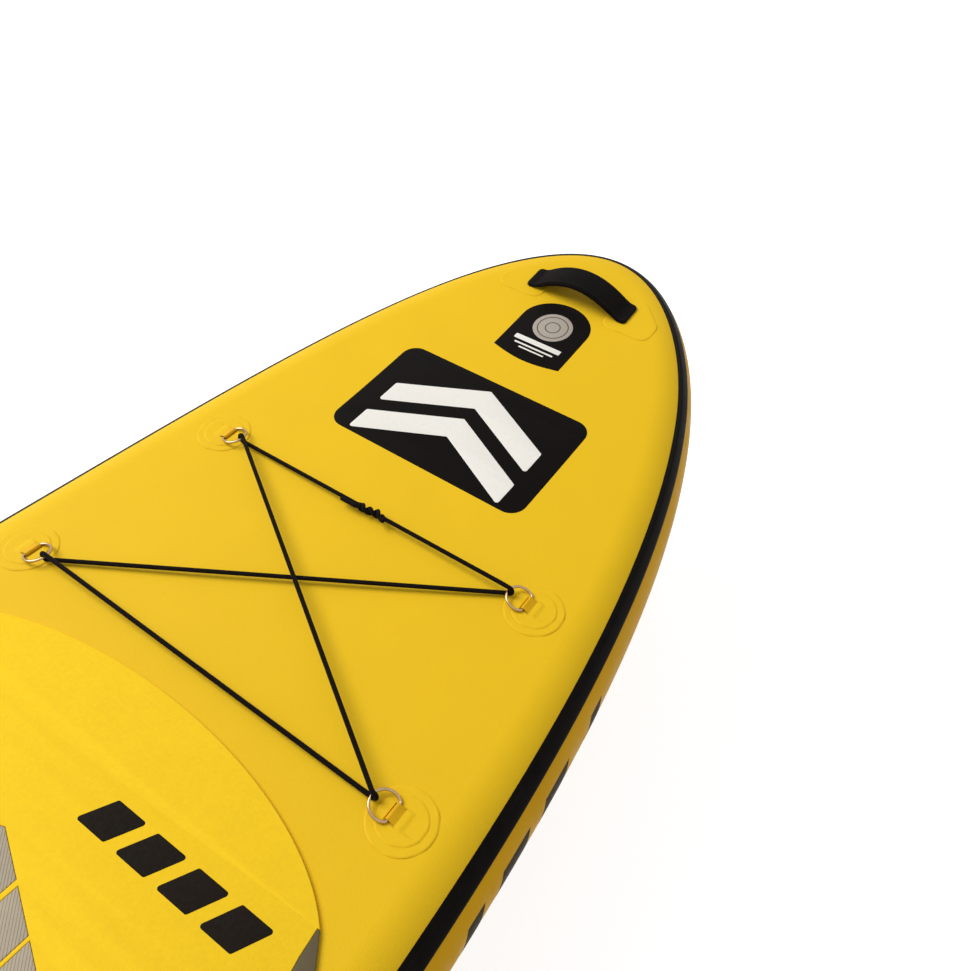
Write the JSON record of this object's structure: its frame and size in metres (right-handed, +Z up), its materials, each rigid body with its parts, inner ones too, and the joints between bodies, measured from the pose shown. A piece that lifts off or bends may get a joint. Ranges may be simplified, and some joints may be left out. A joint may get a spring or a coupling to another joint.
{
  "type": "inflatable stand-up paddle board",
  "caption": "Inflatable stand-up paddle board with a laced bungee net, grab handles, a foam traction pad, an inflation valve and a removable centre fin.",
  "frame": {"origin": "on the flat of the bottom skin, under the centre line at mid-length", "axes": "+X to starboard, +Y to the nose, +Z up through the deck"},
  "size_m": [0.864, 3.2, 0.5701],
  "materials": {
    "deck_skin": "PVC-coated fabric with a fine embossed crocodile grain",
    "rail_skin": "smooth PVC-coated fabric",
    "seam_tape": "smooth PVC tape",
    "core_thread": "polyester drop-stitch cloth and threads",
    "webbing": "woven polypropylene webbing",
    "neoprene": "matt neoprene sleeve",
    "pad_foam": "brushed EVA foam",
    "pad_foam_light": "brushed EVA foam",
    "pad_foam_dark": "brushed EVA foam",
    "steel": "polished stainless wire and fasteners",
    "cord": "braided elastic cord",
    "valve_plastic": "moulded nylon",
    "valve_rubber": "soft moulded rubber",
    "fin_plastic": "moulded nylon",
    "brass": "turned brass"
  },
  "bodies": {
    "board": {"deck_panel": "deck_skin", "bottom_panel": "rail_skin", "sidewall_port": "rail_skin", "sidewall_starboard": "rail_skin", "seam_tape_upper_port": "seam_tape", "seam_tape_upper_starboard": "seam_tape", "seam_tape_lower_port": "seam_tape", "seam_tape_lower_starboard": "seam_tape", "drop_stitch_core": "core_thread", "bungee_front_port_patch_base": "deck_skin", "bungee_front_port_patch_top": "deck_skin", "bungee_front_port_strap": "deck_skin", "bungee_front_starboard_patch_base": "deck_skin", "bungee_front_starboard_patch_top": "deck_skin", "bungee_front_starboard_strap": "deck_skin", "bungee_rear_port_patch_base": "deck_skin", "bungee_rear_port_patch_top": "deck_skin", "bungee_rear_port_strap": "deck_skin", "bungee_rear_starboard_patch_base": "deck_skin", "bungee_rear_starboard_patch_top": "deck_skin", "bungee_rear_starboard_strap": "deck_skin", "leash_patch_base": "deck_skin", "leash_patch_top": "deck_skin", "leash_strap": "deck_skin", "bungee_cord": "cord", "nose_handle_strap": "webbing", "nose_handle_grip": "neoprene", "carry_handle_strap": "webbing", "carry_handle_grip": "neoprene", "nose_handle_patch_port": "deck_skin", "nose_handle_patch_starboard": "deck_skin", "carry_handle_patch_fore": "deck_skin", "carry_handle_patch_aft": "deck_skin", "traction_pad": "pad_foam", "pad_accent_port": "pad_foam_dark", "pad_accent_starboard": "pad_foam_dark", "pad_bar_inner_port": "pad_foam_light", "pad_bar_inner_starboard": "pad_foam_light", "pad_bar_outer_port": "pad_foam_light", "pad_bar_outer_starboard": "pad_foam_light", "pad_chevron": "pad_foam_light", "valve_body": "valve_plastic", "valve_nut": "valve_plastic", "valve_spring": "steel", "fin_box": "fin_plastic", "side_fin_port": "fin_plastic", "side_fin_starboard": "fin_plastic"},
    "bungee_front_port_ring": {"bungee_front_port_ring": "steel"},
    "bungee_front_starboard_ring": {"bungee_front_starboard_ring": "steel"},
    "bungee_rear_port_ring": {"bungee_rear_port_ring": "steel"},
    "bungee_rear_starboard_ring": {"bungee_rear_starboard_ring": "steel"},
    "leash_ring": {"leash_ring": "steel"},
    "cap_tether": {"cap_tether": "valve_rubber"},
    "valve_cap": {"valve_cap": "valve_plastic"},
    "valve_plunger": {"valve_plunger": "valve_rubber"},
    "centre_fin": {"centre_fin": "fin_plastic", "fin_pin": "brass", "fin_plate_nut": "steel"},
    "fin_screw": {"fin_screw": "steel"}
  },
  "joints": [
    {"name": "bungee_front_port_ring_hinge", "type": "hinge", "parent": "board", "child": "bungee_front_port_ring", "pos_m": [-0.26643, 0.85148, 0.19419], "axis": [0, -0.9926, -0.1211], "range_deg": [-3, 50], "deforming": ["bungee_cord"]},
    {"name": "bungee_front_starboard_ring_hinge", "type": "hinge", "parent": "board", "child": "bungee_front_starboard_ring", "pos_m": [0.26643, 0.85148, 0.19419], "axis": [0, 0.9926, 0.1211], "range_deg": [-3, 50], "deforming": ["bungee_cord"]},
    {"name": "bungee_rear_port_ring_hinge", "type": "hinge", "parent": "board", "child": "bungee_rear_port_ring", "pos_m": [-0.3003, 0.53376, 0.16499], "axis": [0, -0.9985, -0.0553], "range_deg": [-3, 50], "deforming": ["bungee_cord"]},
    {"name": "bungee_rear_starboard_ring_hinge", "type": "hinge", "parent": "board", "child": "bungee_rear_starboard_ring", "pos_m": [0.3003, 0.53376, 0.16499], "axis": [0, 0.9985, 0.0553], "range_deg": [-3, 50], "deforming": ["bungee_cord"]},
    {"name": "leash_ring_hinge", "type": "hinge", "parent": "board", "child": "leash_ring", "pos_m": [0, -1.47977, 0.16712], "axis": [-1, 0, 0], "range_deg": [-3, 140]},
    {"name": "tether_fold", "type": "hinge", "parent": "board", "child": "cap_tether", "pos_m": [0.1745, -1.36982, 0.16218], "axis": [0, 0.9992, -0.0411], "range_deg": [0, 140]},
    {"name": "cap_turn", "type": "hinge", "parent": "cap_tether", "child": "valve_cap", "pos_m": [0.14, -1.37, 0.15768], "axis": [0, 0.0411, 0.9992], "continuous": true},
    {"name": "plunger_press", "type": "slide", "parent": "board", "child": "valve_plunger", "axis": [0, 0.0411, 0.9992], "range_m": [-0.003, 0], "stiffness_N_per_m": 300, "springref_m": 0.004, "deforming": ["valve_spring"]},
    {"name": "fin_slide", "type": "slide", "parent": "board", "child": "centre_fin", "axis": [0, 0.9995, -0.0331], "range_m": [-0.025, 0.032]},
    {"name": "fin_screw_turn", "type": "hinge", "parent": "centre_fin", "child": "fin_screw", "pos_m": [0, -1.22391, -0.02283], "axis": [0, 0.0331, 0.9995], "continuous": true}
  ]
}
